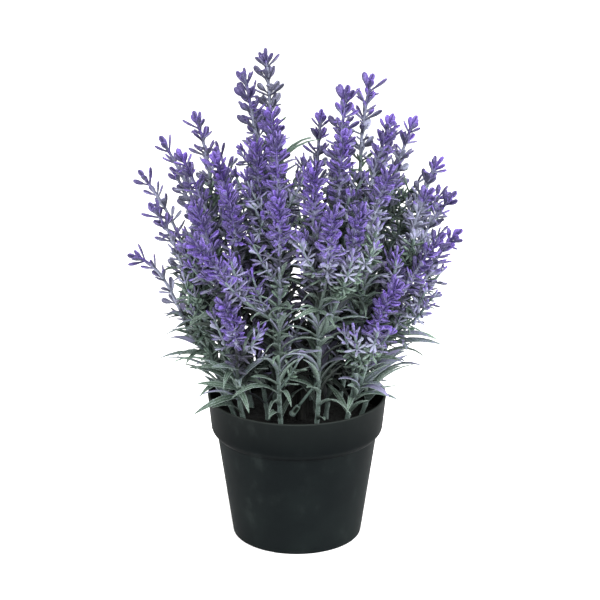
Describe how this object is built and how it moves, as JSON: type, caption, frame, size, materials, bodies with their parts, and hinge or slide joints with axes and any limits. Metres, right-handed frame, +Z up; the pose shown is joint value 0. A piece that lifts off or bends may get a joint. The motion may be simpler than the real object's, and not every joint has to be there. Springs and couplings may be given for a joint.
{
  "type": "artificial potted lavender",
  "caption": "Bushy moulded lavender plant in a dark tapered pot: leafy grey-green stems stand in a dark fill and end in violet flower spikes.",
  "frame": {"origin": "centre of the pot's flat underside, on the surface that the pot stands on", "axes": "+Z up, out of the pot; -Y is the side that the picture shows, +X is to its right"},
  "size_m": [0.1905, 0.1529, 0.2893],
  "materials": {
    "pot_plastic": "satin moulded, near black",
    "fill": "rough, black",
    "core_stem": "dull, dark",
    "foliage": "matt sage green with a lilac dusting",
    "flower": "matt violet, paler on raised faces"
  },
  "bodies": {
    "root": {"pot": "pot_plastic", "fill": "fill", "core_stems": "core_stem", "spray_left": "foliage", "head_left_1": "flower", "head_left_2": "flower", "head_left_3": "flower", "spray_left_back": "foliage", "head_left_back_1": "flower", "head_left_back_2": "flower", "head_left_back_3": "flower", "spray_left_inner": "foliage", "head_left_inner_1": "flower", "head_left_inner_2": "flower", "head_left_inner_3": "flower", "spray_top_left": "foliage", "head_top_left_1": "flower", "head_top_left_2": "flower", "head_top_left_3": "flower", "spray_front_left": "foliage", "head_front_left_1": "flower", "head_front_left_2": "flower", "head_front_left_3": "flower", "spray_front_mid_left": "foliage", "head_front_mid_left_1": "flower", "head_front_mid_left_2": "flower", "head_front_mid_left_3": "flower", "spray_front_mid_right": "foliage", "head_front_mid_right_1": "flower", "head_front_mid_right_2": "flower", "head_front_mid_right_3": "flower", "spray_front_right": "foliage", "head_front_right_1": "flower", "head_front_right_2": "flower", "head_front_right_3": "flower", "spray_right": "foliage", "head_right_1": "flower", "head_right_2": "flower", "head_right_3": "flower", "spray_top_right": "foliage", "head_top_right_1": "flower", "head_top_right_2": "flower", "head_top_right_3": "flower", "spray_right_back": "foliage", "head_right_back_1": "flower", "head_right_back_2": "flower", "head_right_back_3": "flower", "spray_back_mid": "foliage", "head_back_mid_1": "flower", "head_back_mid_2": "flower", "head_back_mid_3": "flower", "spray_back_left": "foliage", "head_back_left_1": "flower", "head_back_left_2": "flower", "head_back_left_3": "flower", "spray_back_right": "foliage", "head_back_right_1": "flower", "head_back_right_2": "flower", "head_back_right_3": "flower", "head_back_right_4": "flower"}
  },
  "joints": []
}
